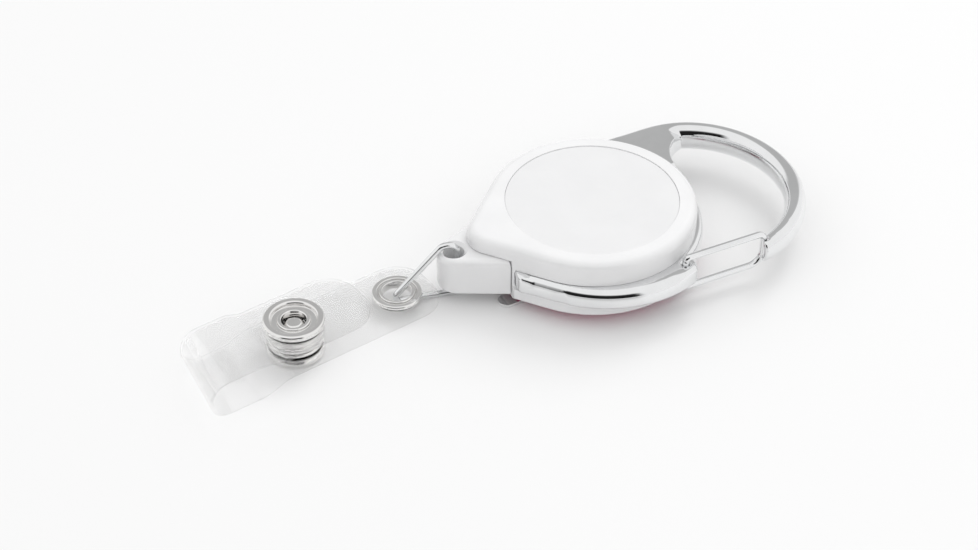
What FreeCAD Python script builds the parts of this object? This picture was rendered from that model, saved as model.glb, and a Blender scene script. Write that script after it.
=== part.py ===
import FreeCAD, Part
import math
import os
from FreeCAD import Vector

# Retractable badge reel: a round spring reel in a two-part case, ringed by a
# cast snap-hook frame with a wire gate. The cord ends in a small fitting that
# carries a bent wire link and a folded clear strap with a press snap.
# Units are millimetres. Origin: on the reel's spindle axis, in the plane that
# the belt clip lies on. +X points to the hook, +Z out of the front face.

os.makedirs("parts", exist_ok=True)

# ---- driving dimensions: case ------------------------------------------------
case_radius = 16.0          # front shell, outside
case_flank_reach = 16.3     # spindle axis to the centre of the nose radius
nose_radius = 4.0
case_back_z = 1.9           # underside of the rear shell
rear_shell_proud = 0.6      # rear shell stands this far outside the front shell
rear_edge_fillet = 0.6
frame_bottom_z = 4.0        # the frame is clamped between these two levels
frame_top_z = 7.2
front_rim_z = 11.2
front_edge_fillet = 1.5
case_floor = 1.2            # wall under the spool
case_ceiling = 1.25         # wall over the spool
skirt_wall = 0.9
cavity_radius = 13.45
label_radius = 13.2
label_thickness = 0.25
label_sink = 0.3            # label face below the rim
label_gap = 0.05            # radial gap round each label
back_label_radius = 15.0
back_label_thickness = 0.2
seam_x = -16.0              # face of the case that the end fitting docks on
neck_half_width = 5.4       # solid neck between the ends of the frame
neck_end_wall = 0.4
neck_inner_x = -12.45       # the neck's inner face, just inside the cavity
base_step = 0.5             # skirt, neck and post start this far above the underside
collar_height = 0.8         # collar under the ceiling that centres the post
collar_wall = 0.9
collar_gap = 0.1
passage_half = 0.7          # half height of the cord's way through the neck
passage_x_low = -14.7
passage_x_high = -11.85
passage_y_low = -3.1
passage_y_high = 1.1
tool_top = 14.0             # above every part, for cutting tools

# ---- driving dimensions: frame, hook and gate --------------------------------
frame_band = 1.0            # band width outside the front shell
frame_seat_gap = 0.15       # radial gap between skirts and frame
shell_clearance = 0.1       # hook's root to the shells above and below the band
frame_edge_fillet = 0.7
arm_peak_y = 18.3           # widest point of the near arm
boss_radius = 1.9
gate_hinge_x = 8.3
gate_hinge_y = -15.2
gate_end_x = 21.8
gate_end_y = -14.62
gate_wire = 1.05
gate_level = 5.4            # middle height of the gate's two runs
gate_spread = 5.6           # height between the two runs
gate_bend = 1.2             # at the upper run
gate_bend_low = 2.2
gate_pin_depth = 1.2
gate_pin_clearance = 0.06
hook_centre_x = 17.2
hook_centre_y = 0.6
hook_radius = 16.4
hook_flatten = 0.7          # the hook's far side lies this much closer in
hook_end_deg = -76.0
hook_half_width = 1.68
hook_half_height = 2.4
hook_level = 5.4
hook_rim_points = 12
hook_stations = 16
root_share = 0.34           # part of the hook's length that is its straight root
root_x = -7.0
root_drop = 0.95            # the root starts this much nearer the case
root_half_width = 1.15
root_half_height = 1.7
flatten_from_deg = 50.0
flatten_span_deg = 40.0
taper_from = 0.75           # the nose tapers over the rest of the curve
taper_power = 1.5
nose_half_width = 1.3
nose_half_height = 2.0
notch_gap = 0.1             # gate wire to the nose's notch
web_low_z = 4.3             # thin web between the hook and the band
web_high_z = 6.5
arm_root = (-10.5, -13.6, 0)
web_start = (14.0, -9.8, 0)         # edge of the hook opening next to the case
web_bulge = (17.45, -1.2, 0)
web_corner_low = (17.8, 6.0, 0)
web_corner_mid = (19.0, 10.7, 0)
web_corner_high = (22.6, 13.4, 0)
web_far_right = (21.5, 15.9, 0)     # these two lie inside the hook's bar
web_far_left = (2.0, 16.3, 0)
arm_crown_x = -0.5

# ---- driving dimensions: spool, spring and cord --------------------------------
post_radius = 2.0
spool_bearing_gap = 0.08
spool_floor_gap = 0.2
spool_web = 0.7
spool_flange = 0.6
spool_groove = 2.6
spool_flange_radius = 13.0
spool_hub_radius = 9.2
spool_hub_wall = 0.9
spring_strip = 0.14
spring_height = 3.2
spring_pitch = 0.42
spring_turns = 9
spring_slot = 0.4
washer_thickness = 0.2
cord_diameter = 0.7
wound_radius = 11.3
cord_level = 5.35
cord_bend_radius = 2.1
cord_bend_x = -13.2         # corner of the cord's route inside the neck
guide_outer_radius = 0.95
guide_flange_radius = 1.4
guide_flange = 0.3
guide_bore_gap = 0.2
guide_length = 1.3

# ---- driving dimensions: end fitting and wire link -----------------------------
dock_gap = 0.2
fitting_bottom_z = 2.1
fitting_top_z = 8.6
fitting_root_half_width = 6.2
fitting_tip_x = -22.1       # centre of the fitting's rounded tip
fitting_tip_radius = 3.2
fitting_edge_fillet = 1.2
nose_over_fitting_gap = 0.15
link_hole_x = -22.75
link_hole_radius = 1.6
link_hole_mouth = 0.5
knot_x = -18.9
knot_radius = 1.05
knot_bite = 0.2             # the cord runs this far into the knot
knot_pocket_gap = 0.25
link_wire = 1.0
link_lean_deg = 8.7         # the link lies this far off the reel's axis
link_leg_s = -0.5
link_crown_s = 1.15
link_crown_z = 8.1
link_crown_bend = 1.5
link_slope_deg = 47.9
link_toe_bend = 0.8
link_heel_bend = 1.0

# ---- driving dimensions: strap, eyelet and snap --------------------------------
strap_reach = 8.85          # link hole to eyelet
strap_lean_deg = 12.0       # the strap lies this far off the reel's axis
strap_width = 12.7
strap_thickness = 0.45
strap_corner = 5.0
strap_tail = 5.7            # strap beyond the eyelet, towards the reel
eyelet_level = 1.55         # middle of the strap at the eyelet
snap_reach = 17.9           # eyelet to snap
snap_level = 1.6
level_change = (5.5, 10.5)  # the lower leaf changes level between these two reaches
snap_lift = 3.5             # lower to upper leaf at the snap
fold_reach = 31.5           # eyelet to the middle of the fold
fold_start = 27.0
dive_start = 22.9           # the lower leaf dips to the floor between these two reaches
dive_end = 26.2
rise_start = 23.5           # the upper leaf climbs to the fold between these two reaches
rise_end = 26.1
leaf_bend = 5.0             # radius of the leaves' gentle bends
dive_bend_low = 3.5
fold_radius = 2.89
flap_end = 6.4              # the upper leaf ends this far from the eyelet
eyelet_bore = 2.2
eyelet_barrel = 0.25
eyelet_flange_radius = 3.8
eyelet_back_radius = 3.4
eyelet_roll = 0.32
eyelet_sheet = 0.22
snap_radius = 4.6
snap_roll = 0.47
snap_inner_roll = 0.33
snap_sheet = 0.25
snap_hole_radius = 2.6
stud_base_radius = 4.1
stud_radius = 1.55
stud_waist = 1.3
socket_radius = 4.4
socket_depth = 2.2
socket_bore = 2.0
snap_spring_wire = 0.35
fit_gap = 0.03              # between pressed metal parts and the vinyl

# ---- driving dimensions: belt clip ---------------------------------------------
clip_turn_deg = 200.0       # direction of the clip's rounded end
clip_width = 9.0
clip_tip_radius = 1.4       # the lower leaf narrows to this
clip_tip_reach = 18.4
clip_fold_reach = 13.6
clip_leaf = 0.55
clip_height = 1.8
rivet_radius = 0.9
rivet_head_radius = 2.3
rivet_head = 0.35
rivet_gap = 0.06

UP = Vector(0, 0, 1)
saved = {}


def save(name, shape):
    """Write one named part and keep its shape."""
    saved[name] = shape
    shape.exportStep("parts/" + name + ".step")


def disc(radius, z_low, z_high, x=0.0, y=0.0):
    """Upright cylinder between two levels."""
    return Part.makeCylinder(radius, z_high - z_low, Vector(x, y, z_low), UP)


def ring(outer, inner, z_low, z_high, x=0.0, y=0.0):
    """Upright tube between two levels."""
    return disc(outer, z_low, z_high, x, y).cut(disc(inner, z_low - 1, z_high + 1, x, y))


def block(x_low, x_high, y_low, y_high, z_low, z_high):
    """Box between two corners."""
    size = (x_high - x_low, y_high - y_low, z_high - z_low)
    return Part.makeBox(size[0], size[1], size[2], Vector(x_low, y_low, z_low))


def prism(edges, z_low, z_high):
    """Closed flat outline in the XY plane, raised between two levels."""
    face = Part.Face(Part.Wire(edges))
    face.translate(Vector(0, 0, z_low))
    return face.extrude(Vector(0, 0, z_high - z_low))


def polyline(points):
    """Straight edges through plan points."""
    return [Part.makeLine(Vector(*a), Vector(*b)) for a, b in zip(points, points[1:])]


def arc(start, middle, end):
    """Circular edge through three points."""
    return Part.Arc(Vector(*start), Vector(*middle), Vector(*end)).toShape()


def teardrop(radius, tip_radius, z_low, z_high):
    """Round body with two straight flanks that run to a rounded nose at -X."""
    slope = math.asin((radius - tip_radius) / case_flank_reach)
    nx = -math.sin(slope)
    ny = math.cos(slope)
    cx = -case_flank_reach
    body_far = (radius * nx, radius * ny, 0)
    body_near = (radius * nx, -radius * ny, 0)
    tip_far = (cx + tip_radius * nx, tip_radius * ny, 0)
    tip_near = (cx + tip_radius * nx, -tip_radius * ny, 0)
    edges = [
        arc(body_near, (radius, 0, 0), body_far),
        Part.makeLine(Vector(*body_far), Vector(*tip_far)),
        arc(tip_far, (cx - tip_radius, 0, 0), tip_near),
        Part.makeLine(Vector(*tip_near), Vector(*body_near)),
    ]
    return prism(edges, z_low, z_high)


def edges_at(shape, level, keep=None):
    """Edges of a shape that lie flat at one level."""
    found = []
    for edge in shape.Edges:
        box = edge.BoundBox
        if abs(box.ZMin - level) < 1e-4 and abs(box.ZMax - level) < 1e-4:
            if keep is None or keep(edge):
                found.append(edge)
    return found


def rounded_path(points, radii):
    """Wire of straight runs joined by tangent arcs; one radius per inner point."""
    corners = [Vector(*p) for p in points]
    edges = []
    start = corners[0]
    for here, after, radius in zip(corners[1:-1], corners[2:], radii):
        back = (start - here).normalize()
        onward = (after - here).normalize()
        half = back.getAngle(onward) / 2
        reach = radius / math.tan(half)
        a = here + back * reach
        b = here + onward * reach
        bisector = (back + onward).normalize()
        middle = here + bisector * (radius / math.sin(half) - radius)
        if (a - start).Length > 1e-6:
            edges.append(Part.makeLine(start, a))
        edges.append(Part.Arc(a, middle, b).toShape())
        start = b
    edges.append(Part.makeLine(start, corners[-1]))
    return Part.Wire(edges)


def round_bar(path, radius):
    """Wire of one round section swept along a path."""
    start = path.OrderedEdges[0]
    at = start.valueAt(start.FirstParameter)
    along = start.tangentAt(start.FirstParameter)
    section = Part.Wire(Part.makeCircle(radius, at, along))
    bar = path.makePipeShell([section], True, False)
    return bar


def revolve(points):
    """Solid of revolution about Z of a closed outline given as (radius, level)."""
    outline = [(r, 0, z) for r, z in points]
    face = Part.Face(Part.Wire(polyline(outline + outline[:1])))
    return face.revolve(Vector(0, 0, 0), UP, 360)


def rolled_ring(centre_radius, bead_radius, level):
    """Ring of round section, as a rolled metal rim has."""
    return Part.makeTorus(centre_radius, bead_radius, Vector(0, 0, level), UP)


def on_case(shape, turn_deg, x=0.0, y=0.0):
    """Turn a part about Z and put its local origin at a plan point."""
    placed = shape.copy()
    placed.rotate(Vector(0, 0, 0), UP, turn_deg)
    placed.translate(Vector(x, y, 0))
    return placed


# ---- case shells ----------------------------------------------------------------
ceiling_z = front_rim_z - label_sink - label_thickness - case_ceiling
floor_z = case_back_z + case_floor
label_seat_z = front_rim_z - label_sink - label_thickness
skirt_radius = cavity_radius + skirt_wall
mid_z = cord_level          # the two shells meet at the cord's level
nose_under_z = fitting_top_z + nose_over_fitting_gap
rear_radius = case_radius + rear_shell_proud
guide_x_low = seam_x + 0.05
guide_x_high = guide_x_low + guide_length
post_top_z = ceiling_z - 0.1
spool_low = floor_z + spool_floor_gap
groove_low = spool_low + spool_web
groove_high = groove_low + spool_groove
spool_high = groove_high + spool_flange
spring_room = spool_hub_radius - spool_hub_wall
spring_low = groove_low + 0.1
spring_high = spring_low + spring_height
slot_z = spring_low - 0.1
shank_top_z = slot_z - 0.2


def beyond_seam(z_low, z_high):
    """Everything on the fitting's side of the seam, between two levels."""
    reach = case_flank_reach + 3 * nose_radius
    return block(-reach, seam_x, -rear_radius, rear_radius, z_low, z_high)


def neck(z_low, z_high):
    """Solid neck that closes the case between the two ends of the frame."""
    body = teardrop(case_radius, nose_radius, z_low, z_high)
    column = block(seam_x, neck_inner_x, -neck_half_width, neck_half_width, z_low, z_high)
    end_wall = block(seam_x, seam_x + neck_end_wall, -rear_radius, rear_radius, z_low, z_high)
    return body.common(column.fuse(end_wall))


def cord_passage():
    """Way for the cord from the spool's rim through the neck to the seam."""
    run = block(passage_x_low, passage_x_high, passage_y_low, passage_y_high,
                cord_level - passage_half, cord_level + passage_half)
    bush = Part.makeCylinder(guide_outer_radius, 4, Vector(seam_x - 1, 0, cord_level), Vector(1, 0, 0))
    inner = Vector(guide_x_high - guide_flange, 0, cord_level)
    seat = Part.makeCylinder(guide_flange_radius + 0.05, 2.0, inner, Vector(1, 0, 0))
    return run.fuse([bush, seat])


def front_shell():
    shell = teardrop(case_radius, nose_radius, frame_top_z, front_rim_z)
    shell = shell.cut(beyond_seam(frame_top_z - 1, nose_under_z))
    shell = shell.makeFillet(front_edge_fillet, edges_at(shell, front_rim_z))
    shell = shell.cut(disc(label_radius + label_gap, label_seat_z, front_rim_z + 1))
    skirt = disc(skirt_radius, mid_z, frame_top_z)
    shell = shell.fuse([skirt, neck(mid_z, frame_top_z)])
    shell = shell.cut(disc(cavity_radius, mid_z - 1, ceiling_z))
    bore = post_radius + collar_gap
    collar = ring(bore + collar_wall, bore, ceiling_z - collar_height, ceiling_z)
    shell = shell.fuse(collar).cut(cord_passage())
    return shell.removeSplitter()


def rear_shell():
    tip = nose_radius + rear_shell_proud
    shell = teardrop(rear_radius, tip, case_back_z, frame_bottom_z)
    shell = shell.cut(beyond_seam(case_back_z - 1, frame_bottom_z + 1))
    rounded = edges_at(shell, case_back_z, lambda e: e.BoundBox.XMax > seam_x + 0.01)
    shell = shell.makeFillet(rear_edge_fillet, rounded)
    skirt = disc(skirt_radius, case_back_z + base_step, mid_z)
    shell = shell.fuse([skirt, neck(case_back_z + base_step, mid_z)])
    shell = shell.cut(disc(cavity_radius, floor_z, mid_z + 1))
    post = disc(post_radius, case_back_z + base_step, post_top_z)
    slot = block(-post_radius, post_radius, -spring_slot / 2, spring_slot / 2, slot_z, post_top_z + 1)
    shell = shell.fuse(post).cut(slot)
    shell = shell.cut(disc(back_label_radius + label_gap, case_back_z - 1, case_back_z + back_label_thickness))
    shell = shell.cut(disc(rivet_radius, case_back_z - 1, shank_top_z))
    shell = shell.cut(cord_passage())
    return shell.removeSplitter()


save("front_shell", front_shell())
save("rear_shell", rear_shell())
save("front_label_disc", disc(label_radius, label_seat_z, label_seat_z + label_thickness))
back_label = ring(back_label_radius, rivet_head_radius + 0.3, case_back_z, case_back_z + back_label_thickness)
save("back_label_disc", back_label)


# ---- cast frame with its hook ------------------------------------------------------
def hook_station(share):
    """Place, direction and half sizes of the hook's section; share runs from 0 to 1."""
    top_y = hook_centre_y + hook_radius - hook_flatten
    if share < root_share:
        t = share / root_share
        x = root_x + (hook_centre_x - root_x) * t
        y = top_y - root_drop * (1 - t) ** 2
        heading = math.atan2(2 * root_drop * (1 - t), hook_centre_x - root_x)
        width = root_half_width + (hook_half_width - root_half_width) * t
        height = root_half_height + (hook_half_height - root_half_height) * t
        return x, y, heading, width, height
    t = (share - root_share) / (1 - root_share)
    angle = math.radians(90 + (hook_end_deg - 90) * t)
    bend_in = max(0.0, math.degrees(angle) - flatten_from_deg) / flatten_span_deg
    radius = hook_radius - hook_flatten * bend_in ** 2
    x = hook_centre_x + radius * math.cos(angle)
    y = hook_centre_y + radius * math.sin(angle)
    taper = max(0.0, (t - taper_from) / (1 - taper_from)) ** taper_power
    width = hook_half_width + (nose_half_width - hook_half_width) * taper
    height = hook_half_height + (nose_half_height - hook_half_height) * taper
    return x, y, angle - math.pi / 2, width, height


def hook_section(share):
    """Closed oval section across the hook, as a smooth curve through its rim."""
    x, y, heading, width, height = hook_station(share)
    across = Vector(-math.sin(heading), math.cos(heading), 0)
    rim = []
    for step in range(hook_rim_points):
        angle = 2 * math.pi * step / hook_rim_points
        u = width * math.cos(angle)
        v = height * math.sin(angle)
        rim.append(Vector(x, y, hook_level) + across * u + UP * v)
    curve = Part.BSplineCurve()
    curve.interpolate(rim, PeriodicFlag=True)
    return Part.Wire(curve.toShape())


def hook_bar():
    sections = [hook_section(i / hook_stations) for i in range(hook_stations + 1)]
    return Part.makeLoft(sections, True, False)


def gate_heading():
    return math.atan2(gate_end_y - gate_hinge_y, gate_end_x - gate_hinge_x)


def soften(body):
    """Round the upper and lower outer edges of a plate of the frame's height."""
    body = body.makeFillet(frame_edge_fillet, edges_at(body, frame_top_z))
    return body.makeFillet(frame_edge_fillet / 2, edges_at(body, frame_bottom_z))


def near_arm():
    """Bulge of the frame that runs out to the gate's boss: part of a large round plate."""
    hinge_reach = math.hypot(gate_hinge_x, gate_hinge_y)
    out = (hinge_reach + boss_radius) / hinge_reach
    arm_tip = Vector(gate_hinge_x * out, gate_hinge_y * out, 0)
    circle = arc(arm_root, (arm_crown_x, -arm_peak_y, 0), arm_tip).Curve
    plate = soften(disc(circle.Radius, frame_bottom_z, frame_top_z, circle.Center.x, circle.Center.y))
    wedge = polyline([arm_root, (0, 0, 0), (gate_hinge_x * 2, gate_hinge_y * 2, 0),
                      (3 * arm_root[0], 3 * arm_root[1], 0), arm_root])
    return plate.common(prism(wedge, 0, tool_top))


def carabiner_frame():
    band = soften(teardrop(case_radius + frame_band, nose_radius + frame_band, frame_bottom_z, frame_top_z))
    band_end = seam_x + neck_end_wall + 0.1
    wide = case_radius + 2 * frame_band
    band = band.cut(block(2 * seam_x, band_end, -wide, wide, 0, tool_top))
    boss = soften(disc(boss_radius, frame_bottom_z, frame_top_z, gate_hinge_x, gate_hinge_y))
    web = prism([
        arc(web_start, web_bulge, web_corner_low),
        arc(web_corner_low, web_corner_mid, web_corner_high),
        *polyline([web_corner_high, web_far_right, web_far_left, web_start]),
    ], web_low_z, web_high_z)
    body = band.fuse([near_arm(), boss, web])
    body = body.fuse(hook_bar())
    over = teardrop(case_radius + shell_clearance, nose_radius + shell_clearance, frame_top_z, tool_top)
    under = teardrop(rear_radius + shell_clearance, nose_radius + rear_shell_proud, 0, frame_bottom_z)
    body = body.cut(over.fuse(under))
    opening = disc(skirt_radius + frame_seat_gap, 0, tool_top)
    neck_gap = neck_half_width + shell_clearance
    body = body.cut(opening.fuse(block(2 * seam_x, neck_inner_x, -neck_gap, neck_gap, 0, tool_top)))
    pin_hole = gate_wire / 2 + gate_pin_clearance
    top_hole = disc(pin_hole, frame_top_z - gate_pin_depth, tool_top, gate_hinge_x, gate_hinge_y)
    low_hole = disc(pin_hole, 0, frame_bottom_z + gate_pin_depth, gate_hinge_x, gate_hinge_y)
    reach = gate_wire / 2 + notch_gap
    notch = block(-2 * gate_wire, reach, -reach, 2 * hook_half_width, 0, tool_top)
    notch = on_case(notch, math.degrees(gate_heading()), gate_end_x, gate_end_y)
    body = body.cut(top_hole.fuse([low_hole, notch]))
    return body.removeSplitter()


def gate_wire_loop():
    """U of spring wire with both ends turned into the frame's boss."""
    length = math.hypot(gate_end_x - gate_hinge_x, gate_end_y - gate_hinge_y)
    high = gate_level + gate_spread / 2
    low = gate_level - gate_spread / 2
    pin_tip_high = frame_top_z - gate_pin_depth + 0.1
    pin_tip_low = frame_bottom_z + gate_pin_depth - 0.1
    points = [(0, 0, pin_tip_high), (0, 0, high), (length, 0, high), (length, 0, low), (0, 0, low),
              (0, 0, pin_tip_low)]
    tight = gate_wire * 0.6
    path = rounded_path(points, [tight, gate_bend, gate_bend_low, tight])
    return on_case(round_bar(path, gate_wire / 2), math.degrees(gate_heading()), gate_hinge_x, gate_hinge_y)


save("carabiner_frame", carabiner_frame())
save("gate_wire", gate_wire_loop())


# ---- spool, spring, washer and cord ------------------------------------------------


def spool():
    web = ring(spool_flange_radius, post_radius + spool_bearing_gap, spool_low, groove_low)
    hub = ring(spool_hub_radius, spring_room, groove_low, spool_high + 0.6)
    flange = ring(spool_flange_radius, spring_room, groove_high, spool_high)
    notch = block(spring_room - 0.6, spring_room + 0.55, -0.3, 0.3, groove_low, spool_high + 1)
    return web.fuse([hub, flange]).cut(notch).removeSplitter()


def spiral_strip():
    """Spiral strip from half turns whose centres alternate, raised to a solid."""
    half = spring_strip / 2
    step = spring_pitch / 2
    outer_r = spring_room - 0.25
    start_r = outer_r - spring_turns * spring_pitch
    outside = []
    inside = []
    x_start = start_r
    side = 1
    for turn in range(2 * spring_turns):
        radius = start_r + step * (turn + 0.5)
        centre = x_start - side * radius
        x_end = centre - side * radius
        for edges, r in ((outside, radius + half), (inside, radius - half)):
            a = (centre + side * r, 0, 0)
            b = (centre, side * r, 0)
            c = (centre - side * r, 0, 0)
            edges.append(arc(a, b, c))
        x_start = x_end
        side = -side
    first_out = outside[0].valueAt(outside[0].FirstParameter)
    first_in = inside[0].valueAt(inside[0].FirstParameter)
    last_out = outside[-1].valueAt(outside[-1].LastParameter)
    last_in = inside[-1].valueAt(inside[-1].LastParameter)
    edges = outside + inside + [Part.makeLine(first_out, first_in), Part.makeLine(last_out, last_in)]
    wire = Part.Wire(Part.__sortEdges__(edges))
    strip = Part.Face(wire).extrude(Vector(0, 0, spring_height))
    strip.translate(Vector(0, 0, spring_low))
    tab = block(-post_radius * 0.8, start_r, -half, half, spring_low, spring_high)
    end_x = last_out.x * 0.5 + last_in.x * 0.5
    hook = block(end_x, spring_room + 0.4, -half, half, spring_low, spring_high)
    return strip.fuse([tab, hook]).removeSplitter()


def cord_lead():
    """Cord from the spool's rim round the neck's corner to its knot."""
    half = cord_diameter / 2
    run_radius = wound_radius + half
    turn = math.acos(run_radius / -cord_bend_x)
    leave_x = -run_radius * math.cos(turn)
    leave_y = -run_radius * math.sin(turn)
    points = [(leave_x, leave_y, cord_level), (cord_bend_x, 0, cord_level),
              (knot_x + knot_radius - knot_bite, 0, cord_level)]
    path = rounded_path(points, [cord_bend_radius])
    print("cord lead: length %.2f, bend radius %.2f" % (path.Length, cord_bend_radius))
    return round_bar(path, half)


def cord_guide():
    """Flanged bush that lines the cord's way out of the case."""
    axis = Vector(1, 0, 0)
    barrel = Part.makeCylinder(guide_outer_radius, guide_length, Vector(guide_x_low, 0, cord_level), axis)
    flange_at = Vector(guide_x_high - guide_flange, 0, cord_level)
    flange = Part.makeCylinder(guide_flange_radius, guide_flange, flange_at, axis)
    bore = Part.makeCylinder(cord_diameter / 2 + guide_bore_gap, 8, Vector(seam_x - 2, 0, cord_level), axis)
    return barrel.fuse(flange).cut(bore).removeSplitter()


save("spool", spool())
save("power_spring", spiral_strip())
washer_low = spring_high + 0.1
washer = ring(spring_room - 0.1, post_radius + 0.3, washer_low, washer_low + washer_thickness)
save("spring_washer", washer)
save("wound_cord", ring(wound_radius, spool_hub_radius, groove_low, groove_high))
save("cord_lead", cord_lead())
save("cord_guide", cord_guide())
knot = Part.makeSphere(knot_radius, Vector(knot_x, 0, cord_level))
knot_end = knot_x + knot_radius - knot_bite
knot = knot.cut(Part.makeCylinder(cord_diameter / 2, 4, Vector(knot_end, 0, cord_level), Vector(1, 0, 0)))
save("cord_knot", knot)


# ---- end fitting and wire link ------------------------------------------------------
def end_fitting():
    root_x = seam_x - dock_gap
    gap = root_x - fitting_tip_x
    reach = math.hypot(gap, fitting_root_half_width)
    tangent_angle = math.atan2(fitting_root_half_width, gap) + math.acos(fitting_tip_radius / reach)
    tx = fitting_tip_x + fitting_tip_radius * math.cos(tangent_angle)
    ty = fitting_tip_radius * math.sin(tangent_angle)
    edges = [
        Part.makeLine(Vector(root_x, -fitting_root_half_width, 0), Vector(root_x, fitting_root_half_width, 0)),
        Part.makeLine(Vector(root_x, fitting_root_half_width, 0), Vector(tx, ty, 0)),
        arc((tx, ty, 0), (fitting_tip_x - fitting_tip_radius, 0, 0), (tx, -ty, 0)),
        Part.makeLine(Vector(tx, -ty, 0), Vector(root_x, -fitting_root_half_width, 0)),
    ]
    body = prism(edges, fitting_bottom_z, fitting_top_z)
    outer = [e for e in edges_at(body, fitting_top_z) if e.BoundBox.XMin < root_x - 0.01]
    body = body.makeFillet(fitting_edge_fillet, outer)
    lower = [e for e in edges_at(body, fitting_bottom_z) if e.BoundBox.XMin < root_x - 0.01]
    body = body.makeFillet(fitting_edge_fillet * 0.6, lower)
    hole = disc(link_hole_radius, 0, 14, link_hole_x)
    mouth = Part.makeCone(link_hole_radius, link_hole_radius + link_hole_mouth, link_hole_mouth,
                          Vector(link_hole_x, 0, fitting_top_z - link_hole_mouth), UP)
    low_mouth = Part.makeCone(link_hole_radius + link_hole_mouth, link_hole_radius, link_hole_mouth,
                              Vector(link_hole_x, 0, fitting_bottom_z), UP)
    pocket = disc(knot_radius + knot_pocket_gap, 0, cord_level + knot_radius + knot_pocket_gap, knot_x)
    cord_way = Part.makeCylinder(cord_diameter / 2 + 0.15, root_x - knot_x + 1,
                                 Vector(knot_x, 0, cord_level), Vector(1, 0, 0))
    return body.cut(hole.fuse([mouth, low_mouth, pocket, cord_way])).removeSplitter()


def link():
    """Bent wire link: up through the fitting, down through the eyelet, back along the floor."""
    half = link_wire / 2
    slope = math.radians(link_slope_deg)
    # the slope's line is tangent to the crown bend
    line_s = link_crown_s + link_crown_bend * math.sin(slope)
    line_z = link_crown_z + link_crown_bend * math.cos(slope)
    crown_top = link_crown_z + link_crown_bend
    apex_s = line_s - (crown_top - line_z) / math.tan(slope)
    toe_s = line_s + (line_z - half) / math.tan(slope)
    split_low = 4.4
    split_high = 4.7
    points = [(link_leg_s, 0, split_high), (link_leg_s, 0, crown_top), (apex_s, 0, crown_top),
              (toe_s, 0, half), (link_leg_s, 0, half), (link_leg_s, 0, split_low)]
    path = rounded_path(points, [link_crown_bend * 0.98, link_crown_bend * 0.9, link_toe_bend, link_heel_bend])
    return on_case(round_bar(path, half), 180 - link_lean_deg, link_hole_x)


save("end_fitting", end_fitting())
save("link_wire", link())

# ---- strap, eyelet and snap -----------------------------------------------------------
lean = math.radians(link_lean_deg)
eyelet_x = link_hole_x - strap_reach * math.cos(lean)
eyelet_y = strap_reach * math.sin(lean)
strap_turn = 180 + strap_lean_deg
flap_level = snap_level + snap_lift
half_strap = strap_thickness / 2


def on_strap(shape, reach=0.0):
    """Put a part that is centred on its own axis on the strap, at a reach from the eyelet."""
    moved = shape.copy()
    moved.translate(Vector(reach, 0, 0))
    return on_case(moved, strap_turn, eyelet_x, eyelet_y)


def strap_outline(u_low, u_high, round_low, round_high):
    """Plan outline of a leaf, with rounded corners at the ends that are free."""
    body = block(u_low, u_high, -strap_width / 2, strap_width / 2, -2, 9)
    corners = []
    for edge in body.Edges:
        box = edge.BoundBox
        upright = box.ZMax - box.ZMin > 5
        at_low = abs(box.XMin - u_low) < 1e-4 and round_low
        at_high = abs(box.XMin - u_high) < 1e-4 and round_high
        if upright and (at_low or at_high):
            corners.append(edge)
    return body.makeFillet(strap_corner, corners) if corners else body


def leaf(points, radii):
    """Flat strip that follows a side profile given as (reach, level)."""
    path = rounded_path([(u, 0, z) for u, z in points], radii)
    first = path.OrderedEdges[0]
    at = first.valueAt(first.FirstParameter)
    along = first.tangentAt(first.FirstParameter)
    normal = Vector(-along.z, 0, along.x)
    side = Vector(0, strap_width / 2, 0)
    corners = [at + side + normal * half_strap, at - side + normal * half_strap,
               at - side - normal * half_strap, at + side - normal * half_strap]
    section = Part.makePolygon(corners + corners[:1])
    return path.makePipeShell([section], True, False)


def strap_lower():
    profile = [(-strap_tail, eyelet_level), (level_change[0], eyelet_level), (level_change[1], snap_level), (dive_start, snap_level),
               (dive_end, half_strap), (fold_start, half_strap)]
    strip = leaf(profile, [2 * leaf_bend, 2 * leaf_bend, leaf_bend, dive_bend_low])
    strip = strip.common(strap_outline(-strap_tail, fold_start, True, False))
    holes = disc(eyelet_bore + eyelet_barrel + fit_gap, 0, 9).fuse(disc(snap_hole_radius, 0, 9, snap_reach))
    return on_strap(strip.cut(holes))


fold_top = half_strap + 2 * fold_radius


def strap_fold():
    profile = [(fold_start, half_strap), (fold_reach + fold_radius, half_strap),
               (fold_reach + fold_radius, fold_top), (fold_start, fold_top)]
    return on_strap(leaf(profile, [fold_radius * 0.98, fold_radius * 0.98]))


def strap_upper():
    profile = [(fold_start, fold_top), (rise_end, fold_top), (rise_start, flap_level), (flap_end, flap_level)]
    strip = leaf(profile, [leaf_bend, leaf_bend])
    strip = strip.common(strap_outline(flap_end, fold_start, True, False))
    return on_strap(strip.cut(disc(snap_hole_radius, 0, 9, snap_reach)))


save("strap_lower", strap_lower())
save("strap_fold", strap_fold())
save("strap_upper", strap_upper())


def eyelet():
    """Rolled metal eyelet: barrel, wide front flange and clinched back flange."""
    top = eyelet_level + half_strap + fit_gap
    low = eyelet_level - half_strap - fit_gap
    barrel = ring(eyelet_bore + eyelet_barrel, eyelet_bore, low - 0.2, top + 0.2)
    front = ring(eyelet_flange_radius, eyelet_bore, top, top + eyelet_sheet)
    bead = rolled_ring(eyelet_bore + eyelet_roll, eyelet_roll, top + eyelet_roll)
    back = ring(eyelet_back_radius, eyelet_bore, low - eyelet_sheet, low)
    body = barrel.fuse([front, bead, back]).cut(disc(eyelet_bore, 0, 9))
    return on_strap(body.removeSplitter())


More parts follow.
